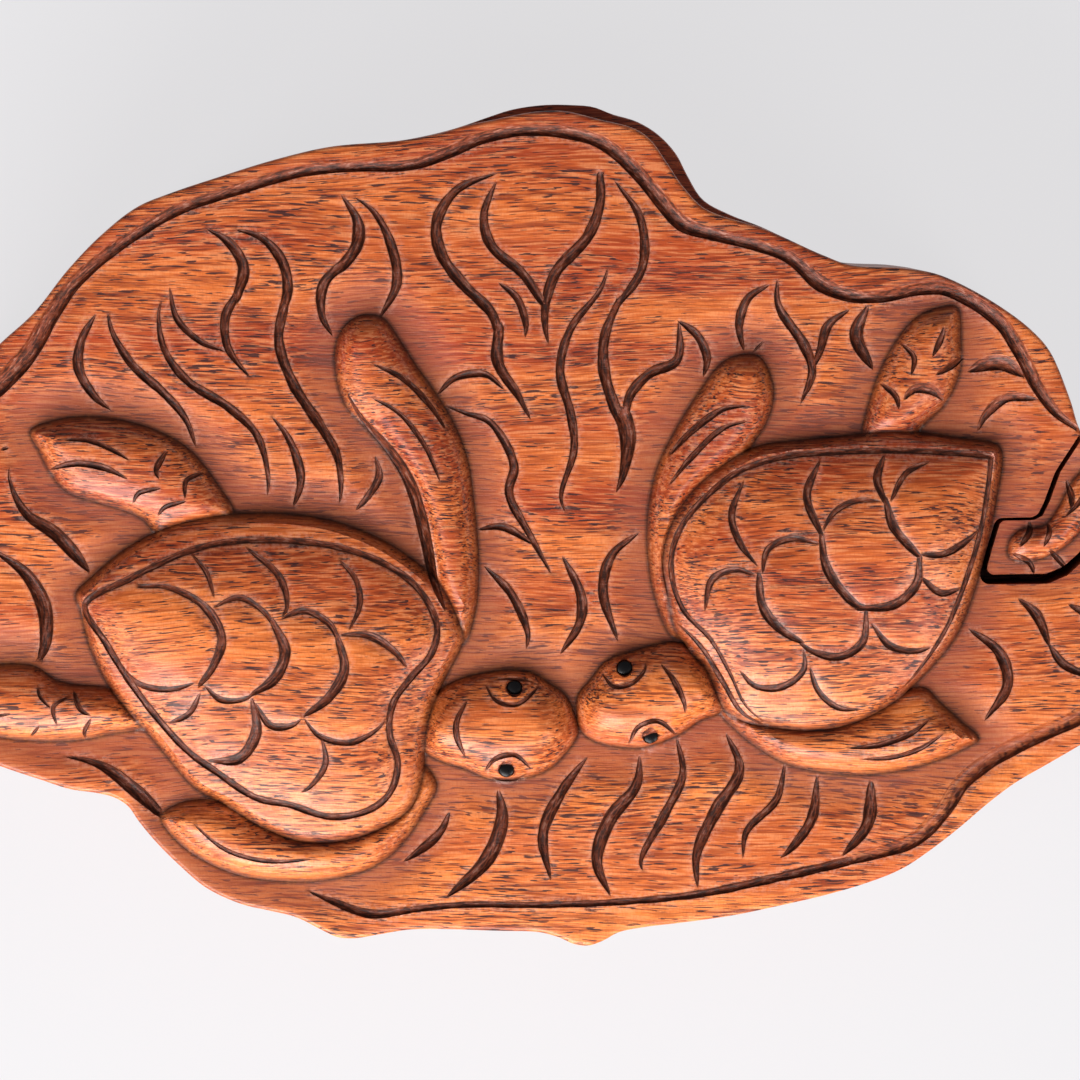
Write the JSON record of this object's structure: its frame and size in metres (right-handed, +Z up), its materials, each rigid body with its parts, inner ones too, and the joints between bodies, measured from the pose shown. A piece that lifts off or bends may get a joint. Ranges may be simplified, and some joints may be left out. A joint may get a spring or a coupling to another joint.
{
  "type": "carved wooden puzzle box",
  "caption": "Oval carved wooden puzzle box: a lid relief-carved with sea turtles slides off a dovetail once its jigsaw-cut key piece is lifted out.",
  "frame": {"origin": "middle of the footprint, on the table the box stands on", "axes": "+X along the long side, towards the key piece; +Y towards the back, where the tenon's end stands proud; +Z up through the carved lid"},
  "size_m": [0.1842, 0.1205, 0.0591],
  "materials": {
    "carved_wood": "red-brown stain under satin lacquer, dark stain left in the carved cuts",
    "body_wood": "red-brown stain under satin lacquer",
    "tongue_wood": "plain sanded wood, waxed",
    "black_inlay": "glossy black"
  },
  "bodies": {
    "body": {"bottom_board": "body_wood", "body_block": "body_wood"},
    "lid": {"lid": "carved_wood", "pupil_left_upper": "black_inlay", "pupil_left_lower": "black_inlay", "pupil_right_upper": "black_inlay", "pupil_right_lower": "black_inlay"},
    "key": {"key": "carved_wood", "key_tongue": "tongue_wood"}
  },
  "joints": [
    {"name": "lid_slide", "type": "slide", "parent": "body", "child": "lid", "axis": [0, -1, 0], "range_m": [0, 0.125]},
    {"name": "key_lift", "type": "slide", "parent": "lid", "child": "key", "axis": [0, 0, 1], "range_m": [0, 0.03]}
  ]
}
